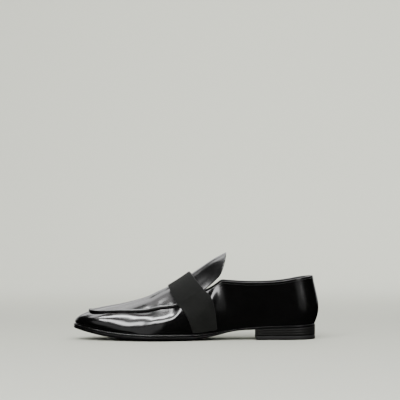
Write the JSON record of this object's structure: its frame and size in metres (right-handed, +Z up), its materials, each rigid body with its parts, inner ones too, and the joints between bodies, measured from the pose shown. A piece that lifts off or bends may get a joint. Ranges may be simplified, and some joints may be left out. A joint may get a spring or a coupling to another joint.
{
  "type": "loafer",
  "caption": "Black patent leather loafer with a raised apron seam, a wide ribbon band over the instep, a free tongue, welted leather sole and low stacked heel",
  "frame": {"origin": "Middle of the bounding box seen from above, at its lowest point, on the floor the shoe stands on", "axes": "+X from toe to heel, +Y towards the inner side of the foot, +Z up"},
  "size_m": [0.301, 0.1018, 0.1059],
  "materials": {
    "patent_leather": "patent gloss, with a smooth dark leather lining inside",
    "ribbon": "matte ribbed ribbon",
    "edge_leather": "dyed and waxed edges, stitched welt",
    "lining": "smooth matte",
    "heel_rubber": "matte"
  },
  "bodies": {
    "root": {"upper": "patent_leather", "tongue": "patent_leather", "instep_band": "ribbon", "welt": "edge_leather", "outsole": "edge_leather", "insole": "lining", "heel_block": "edge_leather", "top_piece": "heel_rubber"}
  },
  "joints": []
}
